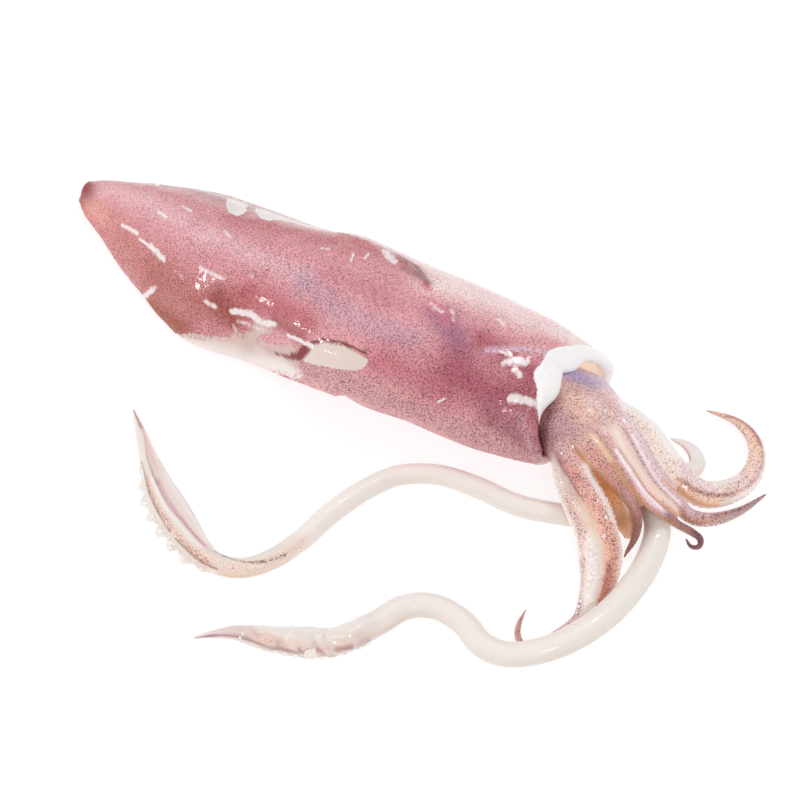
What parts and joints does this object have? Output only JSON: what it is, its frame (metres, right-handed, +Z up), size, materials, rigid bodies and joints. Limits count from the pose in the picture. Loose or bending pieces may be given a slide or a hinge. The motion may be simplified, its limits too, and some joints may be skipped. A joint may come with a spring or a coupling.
{
  "type": "whole raw squid",
  "caption": "Whole raw squid lying on its belly: a tapering finned mantle, a head in its open mouth, curling arms, and long tentacles with club ends spread to one side.",
  "frame": {"origin": "on the surface that the squid lies on, under the middle of its bounding box", "axes": "+X along the mantle from the tail tip to the head, +Y to the squid's left, +Z up out of its back"},
  "size_m": [0.2682, 0.1594, 0.0371],
  "materials": {
    "mantle_skin": "wet, glossy pink skin with fine dark dots, white flesh where it is torn",
    "arm_skin": "wet, glossy cream skin with reddish brown dots and pale suckers",
    "tentacle_flesh": "wet, glossy translucent cream flesh"
  },
  "bodies": {
    "root": {"mantle": "mantle_skin", "head_and_arms": "arm_skin", "tentacle_right": "tentacle_flesh", "tentacle_left": "tentacle_flesh"}
  },
  "joints": []
}
